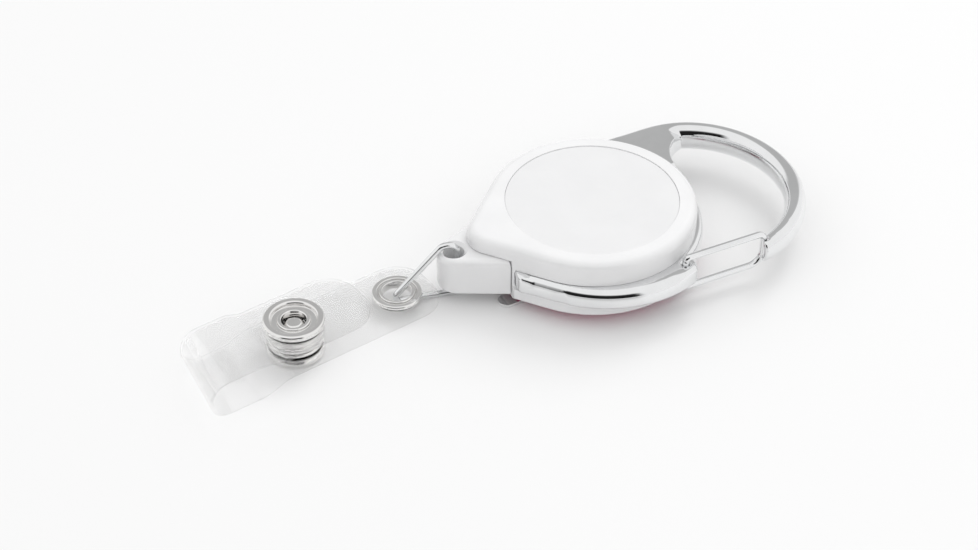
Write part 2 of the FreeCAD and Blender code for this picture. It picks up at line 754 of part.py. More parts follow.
def snap_cap_ring():
    """Front ring of the snap: rolled outer rim, sunk inner ring, barrel through the upper leaf."""
    top = flap_level + half_strap + fit_gap
    low = flap_level - half_strap - fit_gap
    bore = snap_hole_radius - fit_gap - snap_sheet
    plate = ring(snap_radius - snap_roll, bore, top, top + snap_sheet)
    rim = rolled_ring(snap_radius - snap_roll, snap_roll, top + snap_roll)
    inner = rolled_ring(bore + snap_inner_roll, snap_inner_roll, top + snap_inner_roll)
    barrel = ring(snap_hole_radius - fit_gap, bore, low - snap_sheet, top + snap_sheet)
    body = plate.fuse([rim, inner, barrel])
    return on_strap(body.removeSplitter(), snap_reach)


def snap_socket():
    """Socket under the upper leaf, with a grooved bore for the stud and its springs."""
    top = flap_level - half_strap - fit_gap
    low = top - socket_depth
    body = ring(socket_radius, socket_bore, low, top)
    body = body.cut(ring(snap_hole_radius + fit_gap, 0.5, top - 0.3, top + 1))
    groove = ring(socket_radius - 0.9, socket_bore - 0.5, low + 0.45, low + 0.45 + snap_spring_wire + 0.2)
    step = ring(socket_radius + 1, socket_radius - 0.35, top - 0.7, top + 1)
    return on_strap(body.cut(groove.fuse(step)).removeSplitter(), snap_reach)


socket_low = flap_level - half_strap - fit_gap - socket_depth
spring_wire_z = socket_low + 0.55 + snap_spring_wire / 2


def snap_spring():
    """Two bowed wires in the socket's groove that grip the stud's waist."""
    wires = []
    for side in (1, -1):
        bow = stud_waist + 0.12 + snap_spring_wire / 2
        path = Part.Wire([arc((-2.3, side * (bow + 0.5), spring_wire_z), (0, side * bow, spring_wire_z),
                               (2.3, side * (bow + 0.5), spring_wire_z))])
        wires.append(round_bar(path, snap_spring_wire / 2))
    return on_strap(Part.makeCompound(wires), snap_reach)


def snap_stud():
    """Stud on the lower leaf: pressed base, waist and domed head."""
    base = snap_level + half_strap + fit_gap
    waist_z = spring_wire_z
    head_z = waist_z + 0.75
    head = stud_radius
    outline = [(0, base), (stud_base_radius, base), (stud_base_radius, base + 0.5), (stud_waist + 0.5, base + 0.65),
               (stud_waist, base + 1.0), (stud_waist, waist_z + 0.25), (head, head_z - 0.15), (head, head_z + 0.1),
               (head * 0.8, head_z + 0.45), (head * 0.4, head_z + 0.68), (0, head_z + 0.75)]
    body = revolve(outline)
    return on_strap(body, snap_reach)


def snap_post():
    """Back button of the snap, its shank through the lower leaf into the stud."""
    top = snap_level - half_strap - fit_gap
    outline = [(0, 0.05), (snap_radius - 1.0, 0.0), (snap_radius - 0.25, 0.12), (snap_radius - 0.1, top / 2),
               (snap_radius - 0.4, top), (snap_hole_radius - 0.2, top),
               (snap_hole_radius - 0.2, snap_level + half_strap + fit_gap), (0, snap_level + half_strap + fit_gap)]
    return on_strap(revolve(outline), snap_reach)


save("eyelet", eyelet())
save("snap_cap_ring", snap_cap_ring())
save("snap_socket", snap_socket())
save("snap_spring", snap_spring())
save("snap_stud", snap_stud())
save("snap_post", snap_post())


# ---- belt clip and its rivet -----------------------------------------------------------
def belt_clip():
    """Spring-steel strip folded on itself; the upper leaf turns on the rivet."""
    half = clip_leaf / 2
    top = clip_height - half
    bend = (top - half) / 2 * 0.98
    profile = [(clip_tip_reach, 0, half), (-clip_fold_reach - bend, 0, half), (-clip_fold_reach - bend, 0, top),
               (5.5, 0, top)]
    path = rounded_path(profile, [bend, bend])
    side = Vector(0, clip_width / 2, 0)
    at = Vector(*profile[0])
    rise = Vector(0, 0, half)
    section = Part.makePolygon([at + side + rise, at - side + rise, at - side - rise, at + side - rise,
                                at + side + rise])
    strip = path.makePipeShell([section], True, False)
    tip_x = clip_tip_reach - clip_tip_radius
    tip = disc(clip_tip_radius, 0, clip_leaf, tip_x)
    wide = clip_width / 2
    shaft = prism(polyline([(-30, -wide, 0), (0, -wide, 0), (tip_x, -clip_tip_radius, 0),
                            (tip_x, clip_tip_radius, 0), (0, wide, 0), (-30, wide, 0), (-30, -wide, 0)]), -1, 4)
    strip = strip.common(shaft.fuse(tip))
    strip = strip.cut(disc(rivet_radius + rivet_gap, clip_height / 2, 4))
    return on_case(strip.removeSplitter(), clip_turn_deg)


def clip_rivet():
    head_top = clip_height - clip_leaf - 0.04
    head = disc(rivet_head_radius, head_top - rivet_head, head_top)
    shank = disc(rivet_radius, head_top - 0.1, shank_top_z)
    return head.fuse(shank).removeSplitter()


save("belt_clip", belt_clip())
save("clip_rivet", clip_rivet())

for name, shape in saved.items():
    print("%-18s solids %d  volume %8.2f  valid %s" % (name, len(shape.Solids), shape.Volume, shape.isValid()))
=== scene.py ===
import math
import bpy
import bmesh
from mathutils import Matrix, Vector
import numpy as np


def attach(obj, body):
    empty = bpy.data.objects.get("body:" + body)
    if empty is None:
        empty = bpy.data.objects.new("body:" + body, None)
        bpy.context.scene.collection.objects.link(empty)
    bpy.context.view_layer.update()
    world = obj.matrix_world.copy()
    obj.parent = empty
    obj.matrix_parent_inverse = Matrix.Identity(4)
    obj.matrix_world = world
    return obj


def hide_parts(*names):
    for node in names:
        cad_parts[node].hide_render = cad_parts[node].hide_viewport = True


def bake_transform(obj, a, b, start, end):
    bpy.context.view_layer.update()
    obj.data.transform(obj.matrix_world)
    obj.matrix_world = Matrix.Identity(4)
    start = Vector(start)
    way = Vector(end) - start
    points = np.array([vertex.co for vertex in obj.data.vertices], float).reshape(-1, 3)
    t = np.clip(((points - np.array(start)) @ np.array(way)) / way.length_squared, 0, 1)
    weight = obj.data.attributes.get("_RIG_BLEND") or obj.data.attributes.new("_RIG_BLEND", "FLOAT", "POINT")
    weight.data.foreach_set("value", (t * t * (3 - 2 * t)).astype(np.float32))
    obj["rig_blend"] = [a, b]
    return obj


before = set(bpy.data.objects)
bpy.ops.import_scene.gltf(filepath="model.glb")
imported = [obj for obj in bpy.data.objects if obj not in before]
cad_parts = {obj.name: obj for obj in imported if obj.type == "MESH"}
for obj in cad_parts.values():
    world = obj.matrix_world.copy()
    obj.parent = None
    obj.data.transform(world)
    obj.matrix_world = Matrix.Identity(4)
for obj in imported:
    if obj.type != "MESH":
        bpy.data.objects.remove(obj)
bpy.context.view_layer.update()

MM = 0.001

# ---- Camera, surface and light -------------------------------------------------
# The reel lies on a wide sheet of white acrylic under a soft dome. The camera
# stands in front and to the left, 40 degrees above the surface.
view_turn = math.radians(23.5)
view_rise = math.radians(40.2)
camera_place = Vector((-118.68, -233.80, 217.14)) * MM
lens_length = 80.98
sensor_width = 36


def look_matrix(turn, rise):
    """Camera axes for a view along +Y turned about Z and tilted down."""
    right = Vector((math.cos(turn), -math.sin(turn), 0))
    level = Vector((math.sin(turn), math.cos(turn), 0))
    ahead = level * math.cos(rise) - Vector((0, 0, 1)) * math.sin(rise)
    above = right.cross(ahead)
    return Matrix((right, above, -ahead)).transposed()


camera = bpy.data.objects.new("view_camera", bpy.data.cameras.new("view_camera"))
camera.data.lens = lens_length
camera.data.sensor_width = sensor_width
camera.data.clip_start = 0.01
camera.matrix_world = Matrix.Translation(camera_place) @ look_matrix(view_turn, view_rise).to_4x4()
bpy.context.scene.collection.objects.link(camera)
bpy.context.scene.camera = camera
bpy.context.scene.view_settings.view_transform = "Standard"


def new_material(name):
    """Node material with a Principled shader; returns it with its nodes, links and shader."""
    material = bpy.data.materials.new(name)
    material.use_nodes = True
    nodes = material.node_tree.nodes
    return material, nodes, material.node_tree.links, nodes["Principled BSDF"]


def surface_sheet():
    """Plain floor: one large quad, a hair below the reel."""
    reach = 3.0
    level = -0.02 * MM
    acrylic_white = (0.90, 0.90, 0.90, 1)
    mesh = bpy.data.meshes.new("surface")
    corners = [(-reach, -reach), (reach, -reach), (reach, reach), (-reach, reach)]
    mesh.from_pydata([(x, y, level) for x, y in corners], [], [(0, 1, 2, 3)])
    sheet = bpy.data.objects.new("surface", mesh)
    material, nodes, links, shader = new_material("white_acrylic_sheet")
    shader.inputs["Base Color"].default_value = acrylic_white
    shader.inputs["Roughness"].default_value = 0.22
    shader.inputs["Specular IOR Level"].default_value = 0.6
    mesh.materials.append(material)
    bpy.context.scene.collection.objects.link(sheet)


surface_sheet()


def studio_dome():
    """Soft white room that metal mirrors, grey beyond the reel and dark behind the camera.

    A patch of the room has a span of bearings in radians and a band of heights, from 0 at
    the horizon to 1 overhead. It fades in over the first two values and out over the last two.
    """
    far_wall_span = (0.48, 0.72, 1.85, 2.10)
    far_wall_band = (0.02, 0.12, 0.84, 0.93)
    far_wall_tone = 0.50
    dark_side_span = (-2.85, -2.60, -1.50, -1.32)
    dark_side_band = (0.03, 0.08, 0.54, 0.74)
    dark_side_tone = 0.015
    room_tone = 0.95
    horizon_tone = 0.42
    full_light_height = 0.55
    world = bpy.data.worlds.new("studio_dome")
    bpy.context.scene.world = world
    world.use_nodes = True
    nodes = world.node_tree.nodes
    links = world.node_tree.links
    background = nodes["Background"]
    direction = nodes.new("ShaderNodeTexCoord").outputs["Generated"]
    split = nodes.new("ShaderNodeSeparateXYZ")
    links.new(direction, split.inputs[0])
    rise = split.outputs["Z"]

    def step(value, low, high, out_low=0.0, out_high=1.0):
        ramp = nodes.new("ShaderNodeMapRange")
        ramp.interpolation_type = "SMOOTHSTEP"
        links.new(value, ramp.inputs["Value"])
        ramp.inputs["From Min"].default_value = low
        ramp.inputs["From Max"].default_value = high
        ramp.inputs["To Min"].default_value = out_low
        ramp.inputs["To Max"].default_value = out_high
        return ramp.outputs["Result"]

    def product(first, second):
        times = nodes.new("ShaderNodeMath")
        times.operation = "MULTIPLY"
        links.new(first, times.inputs[0])
        links.new(second, times.inputs[1])
        return times.outputs[0]

    def patch(bearing, rise, span, band):
        wide = product(step(bearing, span[0], span[1]), step(bearing, span[2], span[3], 1.0, 0.0))
        tall = product(step(rise, band[0], band[1]), step(rise, band[2], band[3], 1.0, 0.0))
        return product(wide, tall)

    def blended(amount, first, second):
        mix = nodes.new("ShaderNodeMix")
        mix.data_type = "FLOAT"
        links.new(amount, mix.inputs["Factor"])
        for socket, value in ((mix.inputs[2], first), (mix.inputs[3], second)):
            if isinstance(value, float):
                socket.default_value = value
            else:
                links.new(value, socket)
        return mix.outputs[0]

    compass = nodes.new("ShaderNodeMath")
    compass.operation = "ARCTAN2"
    links.new(split.outputs["Y"], compass.inputs[0])
    links.new(split.outputs["X"], compass.inputs[1])
    bearing = compass.outputs[0]
    far_wall = patch(bearing, rise, far_wall_span, far_wall_band)
    room = blended(far_wall, room_tone, far_wall_tone)
    dark_side = patch(bearing, rise, dark_side_span, dark_side_band)
    room = blended(dark_side, room, dark_side_tone)
    sky = step(rise, 0.0, full_light_height, horizon_tone, 1.0)
    path = nodes.new("ShaderNodeLightPath")
    seen = blended(path.outputs["Is Glossy Ray"], sky, room)
    seen = blended(path.outputs["Is Transmission Ray"], seen, 1.0)
    seen = blended(path.outputs["Is Camera Ray"], seen, 1.0)
    links.new(seen, background.inputs["Color"])
    background.inputs["Strength"].default_value = 1.0


studio_dome()


def key_lamp():
    """Round lamp turned to the reel, left out of reflections so that it makes no glare."""
    place = Vector((0.50, 0.40, 0.66))
    lamp = bpy.data.lights.new("key_box", "AREA")
    lamp.shape = "DISK"
    lamp.size = 0.60
    lamp.energy = 2.2
    holder = bpy.data.objects.new("key_box", lamp)
    holder.location = place
    holder.rotation_euler = (-place).to_track_quat("-Z", "Y").to_euler()
    holder.visible_glossy = False
    bpy.context.scene.collection.objects.link(holder)


key_lamp()


# ---- White case halves and end fitting -----------------------------------------------
# Two halves moulded in gloss white ABS close on each other inside the metal frame.
# The end fitting is moulded in the same plastic and docks under the front half's nose.
def handling_marks():
    """Group for fine scuffs in the gloss and a faint unevenness of the surface.

    Scale, Gloss, Spread and Grain go in; Roughness and Height come out.
    """
    grain_fineness = 9.0
    tree = bpy.data.node_groups.new("handling_marks", "ShaderNodeTree")
    for label, value in (("Scale", 400.0), ("Gloss", 0.2), ("Spread", 0.06), ("Grain", 0.5)):
        socket = tree.interface.new_socket(label, in_out="INPUT", socket_type="NodeSocketFloat")
        socket.default_value = value
    tree.interface.new_socket("Roughness", in_out="OUTPUT", socket_type="NodeSocketFloat")
    tree.interface.new_socket("Height", in_out="OUTPUT", socket_type="NodeSocketFloat")
    nodes = tree.nodes
    links = tree.links
    start = nodes.new("NodeGroupInput")
    end = nodes.new("NodeGroupOutput")
    place = nodes.new("ShaderNodeTexCoord")
    smudge = nodes.new("ShaderNodeTexNoise")
    smudge.inputs["Detail"].default_value = 5
    links.new(place.outputs["Object"], smudge.inputs["Vector"])
    links.new(start.outputs["Scale"], smudge.inputs["Scale"])
    fine = nodes.new("ShaderNodeMath")
    fine.operation = "MULTIPLY"
    fine.inputs[1].default_value = grain_fineness
    links.new(start.outputs["Scale"], fine.inputs[0])
    grain = nodes.new("ShaderNodeTexNoise")
    grain.inputs["Detail"].default_value = 2
    links.new(place.outputs["Object"], grain.inputs["Vector"])
    links.new(fine.outputs[0], grain.inputs["Scale"])
    offset = nodes.new("ShaderNodeMath")
    offset.operation = "SUBTRACT"
    offset.inputs[1].default_value = 0.5
    links.new(smudge.outputs["Fac"], offset.inputs[0])
    spread = nodes.new("ShaderNodeMath")
    spread.operation = "MULTIPLY_ADD"
    links.new(offset.outputs[0], spread.inputs[0])
    links.new(start.outputs["Spread"], spread.inputs[1])
    links.new(start.outputs["Gloss"], spread.inputs[2])
    links.new(spread.outputs[0], end.inputs["Roughness"])
    mixed = nodes.new("ShaderNodeMath")
    mixed.operation = "MULTIPLY_ADD"
    links.new(grain.outputs["Fac"], mixed.inputs[0])
    links.new(start.outputs["Grain"], mixed.inputs[1])
    links.new(smudge.outputs["Fac"], mixed.inputs[2])
    links.new(mixed.outputs[0], end.inputs["Height"])
    return tree


marks_group = handling_marks()


def add_marks(nodes, links, shader, scale, gloss, spread, grain, depth):
    """Place the handling marks in a material, with the depth of its unevenness in metres."""
    marks = nodes.new("ShaderNodeGroup")
    marks.node_tree = marks_group
    marks.inputs["Scale"].default_value = scale
    marks.inputs["Gloss"].default_value = gloss
    marks.inputs["Spread"].default_value = spread
    marks.inputs["Grain"].default_value = grain
    links.new(marks.outputs["Roughness"], shader.inputs["Roughness"])
    bump = nodes.new("ShaderNodeBump")
    bump.inputs["Strength"].default_value = 1.0
    bump.inputs["Distance"].default_value = depth
    links.new(marks.outputs["Height"], bump.inputs["Height"])
    links.new(bump.outputs["Normal"], shader.inputs["Normal"])


def tinted(nodes, links, shader, low, high, scale):
    """Slow change of colour over a piece, between two close tones."""
    cloud_edges = (0.35, 0.65)
    place = nodes.new("ShaderNodeTexCoord")
    cloud = nodes.new("ShaderNodeTexNoise")
    cloud.inputs["Scale"].default_value = scale
    cloud.inputs["Detail"].default_value = 3
    ramp = nodes.new("ShaderNodeValToRGB")
    for stop, edge, tone in zip(ramp.color_ramp.elements, cloud_edges, (low, high)):
        stop.position = edge
        stop.color = (*tone, 1)
    links.new(place.outputs["Object"], cloud.inputs["Vector"])
    links.new(cloud.outputs["Fac"], ramp.inputs[0])
    links.new(ramp.outputs[0], shader.inputs["Base Color"])


def plastic(name, low, high, gloss, coat=0.0):
    """Moulded plastic with a skin that is a little uneven."""
    material, nodes, links, shader = new_material(name)
    tinted(nodes, links, shader, low, high, scale=160)
    add_marks(nodes, links, shader, scale=260, gloss=gloss, spread=0.08, grain=0.25, depth=0.004 * MM)
    shader.inputs["IOR"].default_value = 1.5
    shader.inputs["Coat Weight"].default_value = coat
    shader.inputs["Coat Roughness"].default_value = 0.08
    return material


white_abs = plastic("white_abs", (0.85, 0.85, 0.855), (0.88, 0.88, 0.885), gloss=0.2, coat=0.3)


def linked(name, mesh, material):
    """New object for a finished mesh."""
    piece = bpy.data.objects.new(name, mesh)
    bpy.context.scene.collection.objects.link(piece)
    mesh.materials.clear()
    mesh.materials.append(material)
    mesh.shade_smooth()
    return piece


def settled(piece):
    """Apply an object's modifiers and drop them."""
    graph = bpy.context.evaluated_depsgraph_get()
    done = bpy.data.meshes.new_from_object(piece.evaluated_get(graph))
    piece.modifiers.clear()
    piece.data = done


def stand_for(piece, body, slot, *nodes):
    """Hang a piece on a body in place of CAD nodes."""
    if body:
        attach(piece, body)
    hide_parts(*nodes)


def bench_copy(node):
    """Copy of a CAD node's mesh with its loose triangles joined and flat faces merged."""
    weld_distance = 0.0002 * MM
    flat_angle = math.radians(0.3)
    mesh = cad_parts[node].data.copy()
    shape = bmesh.new()
    shape.from_mesh(mesh)
    bmesh.ops.remove_doubles(shape, verts=shape.verts, dist=weld_distance)
    bmesh.ops.dissolve_limit(shape, angle_limit=flat_angle, verts=shape.verts, edges=shape.edges)
    bmesh.ops.recalc_face_normals(shape, faces=shape.faces)
    shape.to_mesh(mesh)
    shape.free()
    for attribute in [a for a in mesh.attributes if a.name == "custom_normal"]:
        mesh.attributes.remove(attribute)
    return mesh


def moulded(node, body, material, slot, edge):
    """CAD node's copy with its sharp edges broken, as a mould or a press leaves them."""
    piece = linked(node + "_finished", bench_copy(node), material)
    bevel = piece.modifiers.new("broken_edges", "BEVEL")
    bevel.width = edge
    bevel.segments = 2
    bevel.limit_method = "ANGLE"
    bevel.angle_limit = math.radians(30)
    bevel.harden_normals = True
    settled(piece)
    stand_for(piece, body, slot, node)
    return piece


moulded("front_shell", "case", white_abs, "white_shell", edge=0.20 * MM)
moulded("rear_shell", "case", white_abs, "white_shell", edge=0.12 * MM)
moulded("end_fitting", "fitting", white_abs, "white_shell", edge=0.12 * MM)

# ---- Labels ---------------------------------------------------------------------------
# Blank paper discs stuck into the round recesses: satin white in front, magenta behind.
# The front one stands a little proud and fills its recess, so that no gap shows round it.
label_spread = 1.0035
label_lift = 0.16 * MM
label_paper = plastic("label_paper", (0.80, 0.80, 0.805), (0.82, 0.82, 0.825), gloss=0.38)
magenta_paper = plastic("magenta_paper", (0.72, 0.02, 0.20), (0.76, 0.03, 0.23), gloss=0.35)
front_label = moulded("front_label_disc", "case", label_paper, "label_face", edge=0.12 * MM)
front_label.data.transform(Matrix.Diagonal((label_spread, label_spread, 1, 1)))
front_label.data.transform(Matrix.Translation((0, 0, label_lift)))
moulded("back_label_disc", "case", magenta_paper, "magenta_back", edge=0.05 * MM)

# ---- Cast frame ---------------------------------------------------------------------------
# Frame and hook are one zinc casting, tumbled until its edges are soft, then plated.
# The web in the corner between bar and hook is filled up flush with the bar's crest, and
# the near arm has a wide rounding. Sizes are in millimetres in the row frame.
def metal(name, low, high, gloss, spread, depth):
    """Plated or bare metal with faint scuffs."""
    material, nodes, links, shader = new_material(name)
    tinted(nodes, links, shader, low, high, scale=220)
    shader.inputs["Metallic"].default_value = 1.0
    add_marks(nodes, links, shader, scale=500, gloss=gloss, spread=spread, grain=0.3, depth=depth)
    return material


chrome = metal("bright_chrome", (0.82, 0.825, 0.83), (0.86, 0.865, 0.87), gloss=0.035, spread=0.02,
               depth=0.001 * MM)
casting_grain = 0.16 * MM
tumbling_passes = 36
polish_passes = 8
smoothing_share = 0.5

web_start = 4.0
web_floor = 6.0
web_top = 6.6
case_clearance = 16.15
bar_ends = (-7.0, 17.2)
bar_line = 16.3
bar_bow = 0.95
bar_crest = 7.06
bar_climb = 0.7
bar_foot = 12.5
hook_start = 21.0
web_fade_y = (4.0, 7.0)
web_fade_x = (22.6, 20.6)

arm_centre = Vector((1.82, -0.375))
arm_radius = 18.05
arm_rounding = 1.6
arm_top = 7.15
arm_inner_line = -8.0
arm_fades = ((-15.2, -14.2), (7.4, 5.4))
band_start = -10.6
band_side = Vector((-0.735, -0.678))
band_reach = 16.98
band_end = (-13.8, -15.3)
end_reach = 0.28


def ramp(value, low, high):
    """Share of the way from low to high, kept between 0 and 1."""
    return min(1.0, max(0.0, (value - low) / (high - low)))


def filled_web(x, y, z):
    """Height of the web's top: brought flush with the bar's crest, fading out at its borders."""
    along = ramp(x, *bar_ends)
    if z < web_floor or x < web_start or y < web_start or math.hypot(x, y) < case_clearance:
        return z
    if y > bar_line - bar_bow * (1 - along) ** 2:
        return z
    crest = bar_crest + bar_climb * along
    if crest < z and (z > web_top or x > hook_start or y > bar_foot):
        return z
    return z + (crest - z) * ramp(y, *web_fade_y) * ramp(x, *web_fade_x)


def rounded_arm(x, y, z):
    """Point of the near arm, moved in to a wide rounding of its upper outer edge."""
    here = Vector((x, y))
    depth = arm_radius - (here - arm_centre).length
    outward = (here - arm_centre).normalized()
    if x < band_start:
        depth = band_reach - here.dot(band_side)
        outward = band_side
    across = arm_rounding - depth
    above = z - arm_top + arm_rounding
    reach = math.hypot(across, above)
    if across < 0 or above < 0 or reach < arm_rounding or y > arm_inner_line:
        return x, y, z
    rear_fade, front_fade = arm_fades
    keep = 1 + (arm_rounding / reach - 1) * ramp(x, *rear_fade) * ramp(x, *front_fade)
    place = here + outward * across * (keep - 1)
    return place.x, place.y, arm_top - arm_rounding + above * keep


def tumbled_frame():
    """The casting with all its edges rounded and its web and near arm eased."""
    piece = linked("cast_frame", bench_copy("carabiner_frame"), chrome)
    skin = piece.modifiers.new("skin", "REMESH")
    skin.mode = "VOXEL"
    skin.voxel_size = casting_grain
    tumble = piece.modifiers.new("tumble", "SMOOTH")
    tumble.factor = smoothing_share
    tumble.iterations = tumbling_passes
    settled(piece)
    for vertex in piece.data.vertices:
        x, y, z = vertex.co / MM
        if y < 0:
            x -= end_reach * ramp(x, *band_end)
        x, y, z = rounded_arm(x, y, z)
        vertex.co = Vector((x, y, filled_web(x, y, z))) * MM
    polish = piece.modifiers.new("polish", "SMOOTH")
    polish.factor = smoothing_share
    polish.iterations = polish_passes
    settled(piece)
    piece.data.shade_smooth()
    stand_for(piece, "case", "cast_chrome", "carabiner_frame")


tumbled_frame()

# ---- Wire gate and wire link ----------------------------------------------------------------
# Both are bent from bright plated spring wire. The gate closes the hook, and the link
# joins the end fitting to the strap's eyelet.
def dress(node, material):
    """Give a CAD node its finish."""
    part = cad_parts[node]
    part.data.materials.clear()
    part.data.materials.append(material)


for node in ("gate_wire", "link_wire"):
    dress(node, chrome)

# ---- Strap -----------------------------------------------------------------------------------
# One strip of clear vinyl is folded over; its two leaves are punched for the snap and
# the long leaf is punched once more for the eyelet. The fold bends when the flap opens.
# Sizes are in millimetres, along, across and above the strap from the eyelet's axis.
strap_place = Vector((-31.498, 1.339, 0)) * MM
strap_turn = math.radians(192)
strap_half = 6.35
leaf_half = 0.225
strap_corner = 5.0
edge_rounding = 0.09
strap_path = [(-5.7, 1.55), (5.5, 1.55), (10.5, 1.6), (22.9, 1.6), (26.2, leaf_half), (34.39, leaf_half),
              (34.39, 6.005), (26.1, 6.005), (23.5, 5.1), (6.4, 5.1)]
strap_bends = [0, 10, 10, 5, 3.5, 2.85, 2.85, 5, 5, 0]
fold_skew = 0.165
fold_skew_run = (24.0, 33.0)
eyelet_hole = 2.48
snap_hole = 2.6
snap_reach = 17.9


def on_strap(u, v, z):
    """Row-frame point for millimetres along, across and above the strap at the eyelet."""
    turn = Matrix.Rotation(strap_turn, 3, "Z")
    return strap_place + turn @ (Vector((u, v, z)) * MM)


def softened(points, radii, closed=True, steps=6):
    """Outline in two dimensions with each corner replaced by an arc."""
    out = []
    last = len(points) - 1
    longest_share = 0.49
    for i, (corner, radius) in enumerate(zip(points, radii)):
        here = Vector(corner)
        if radius == 0 or (not closed and i in (0, last)):
            out.append(here)
            continue
        back = Vector(points[i - 1]) - here
        onward = Vector(points[(i + 1) % len(points)]) - here
        half = back.angle(onward) / 2
        reach = min(radius / math.tan(half), back.length * longest_share, onward.length * longest_share)
        bisector = (back.normalized() + onward.normalized()).normalized()
        middle = here + bisector * (reach / math.cos(half))
        first = here + back.normalized() * reach - middle
        final = here + onward.normalized() * reach - middle
        begin = math.atan2(first.y, first.x)
        sweep = (math.atan2(final.y, final.x) - begin + math.pi) % (2 * math.pi) - math.pi
        for step in range(steps + 1):
            angle = begin + sweep * step / steps
            out.append(middle + Vector((math.cos(angle), math.sin(angle))) * first.length)
    return out


def mesh_of(name, corners, faces):
    """Mesh with its faces turned outward."""
    mesh = bpy.data.meshes.new(name)
    mesh.from_pydata(corners, [], faces)
    shape = bmesh.new()
    shape.from_mesh(mesh)
    bmesh.ops.recalc_face_normals(shape, faces=shape.faces)
    shape.to_mesh(mesh)
    shape.free()
    return mesh


def bridged(rings):
    """Quads between closed rings of points, with a face at each end."""
    count = len(rings[0])
    faces = [tuple(range(count)), tuple(range(len(rings) * count - count, len(rings) * count))]
    for i in range(len(rings) - 1):
        for j in range(count):
            k = (j + 1) % count
            faces.append((i * count + j, i * count + k, (i + 1) * count + k, (i + 1) * count + j))
    return [point for ring in rings for point in ring], faces


def clear_vinyl():
    """Clear vinyl: bends and mirrors some of the light, and lets most of it straight through."""
    straight_through = 0.80
    vinyl_clear = (0.99, 0.99, 0.99, 1)
    material, nodes, links, shader = new_material("clear_vinyl")
    shader.inputs["Base Color"].default_value = vinyl_clear
    shader.inputs["Transmission Weight"].default_value = 1.0
    shader.inputs["IOR"].default_value = 1.36
    add_marks(nodes, links, shader, scale=120, gloss=0.03, spread=0.03, grain=0.1, depth=0.001 * MM)
    clear = nodes.new("ShaderNodeBsdfTransparent")
    clear.inputs["Color"].default_value = vinyl_clear
    mix = nodes.new("ShaderNodeMixShader")
    path = nodes.new("ShaderNodeLightPath")
    share = nodes.new("ShaderNodeMath")
    share.operation = "MAXIMUM"
    share.inputs[1].default_value = straight_through
    unbent = nodes.new("ShaderNodeMath")
    unbent.operation = "MAXIMUM"
    links.new(path.outputs["Is Shadow Ray"], unbent.inputs[0])
    links.new(path.outputs["Is Diffuse Ray"], unbent.inputs[1])
    links.new(unbent.outputs[0], share.inputs[0])
    links.new(share.outputs[0], mix.inputs[0])
    links.new(shader.outputs[0], mix.inputs[1])
    links.new(clear.outputs[0], mix.inputs[2])
    links.new(mix.outputs[0], nodes["Material Output"].inputs["Surface"])
    return material


def strip_section(half):
    """Cross-section of the strip at a half width: two flat faces and two rounded edges."""
    run = half - edge_rounding
    side = leaf_half - edge_rounding
    outline = []
    for way in (1, -1):
        outline += [(way * stop * run, way * leaf_half) for stop in (-0.97, -0.5, 0, 0.5, 0.97)]
        for level, start in ((side, 90), (-side, 0)):
            for k in range(4):
                angle = math.radians(start - 30 * k)
                across = run + edge_rounding * math.cos(angle)
                outline.append((way * across, way * (level + edge_rounding * math.sin(angle))))
    return outline


def strap_rings():
    """Rounded sections across the strip at stations along its folded path."""
    route = softened(strap_path, strap_bends, closed=False, steps=16)
    lengths = [0.0]
    for a, b in zip(route, route[1:]):
        lengths.append(lengths[-1] + (b - a).length)
    total = lengths[-1]
    end_steps = 14
    run_steps = 140
    near_ends = [strap_corner * (1 - math.cos(math.pi / 2 * k / end_steps)) for k in range(end_steps + 1)]
    middle = [strap_corner + (total - 2 * strap_corner) * k / run_steps for k in range(1, run_steps)]
    stations = near_ends + middle + [total - d for d in reversed(near_ends)]
    rings = []
    seg = 0
    for s in stations:
        while seg < len(lengths) - 2 and s > lengths[seg + 1]:
            seg += 1
        a, b = route[seg], route[seg + 1]
        share = (s - lengths[seg]) / (lengths[seg + 1] - lengths[seg])
        at = a.lerp(b, share)
        before = route[max(seg - 1, 0)]
        after = route[min(seg + 2, len(route) - 1)]
        along = ((b - before).normalized()).lerp((after - a).normalized(), share).normalized()
        up = Vector((-along.y, along.x))
        inset = max(0.0, strap_corner - min(s, total - s))
        half = strap_half - strap_corner + math.sqrt(max(0.0, strap_corner ** 2 - inset ** 2))
        skew = fold_skew * ramp(at.x, *fold_skew_run)
        rings.append([on_strap(at.x + up.x * t + skew * v, v, at.y + up.y * t)
                      for v, t in strip_section(half)])
    return rings


def punch(piece, reach, radius):
    """Cut a round hole up through a piece on the strap's middle line."""
    sides = 72
    punch_levels = (-1.0, 9.0)
    rings = []
    for z in punch_levels:
        rings.append([on_strap(reach + radius * math.cos(2 * math.pi * k / sides),
                               radius * math.sin(2 * math.pi * k / sides), z) for k in range(sides)])
    tool = bpy.data.objects.new("punch", mesh_of("punch", *bridged(rings)))
    bpy.context.scene.collection.objects.link(tool)
    cut = piece.modifiers.new("hole", "BOOLEAN")
    cut.operation = "DIFFERENCE"
    cut.solver = "EXACT"
    cut.object = tool
    settled(piece)
    bpy.data.objects.remove(tool)


strap = linked("folded_strap", mesh_of("folded_strap", *bridged(strap_rings())), clear_vinyl())
punch(strap, 0.0, eyelet_hole)
punch(strap, snap_reach, snap_hole)
strap.data.shade_smooth()
stand_for(strap, None, "clear_vinyl", "strap_lower", "strap_fold", "strap_upper")
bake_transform(strap, "strap", "flap", on_strap(33, 0, 1.9), on_strap(33, 0, 4.7))

# ---- Eyelet and press snap ----------------------------------------------------------------
# Pressed from brass and nickel plated. The eyelet is clinched round its hole; the snap is a
# ring and a sprung socket on the flap, and a stud and a back button on the long leaf.
nickel = metal("nickel_plate", (0.82, 0.81, 0.80), (0.87, 0.865, 0.855), gloss=0.10, spread=0.04,
               depth=0.0015 * MM)


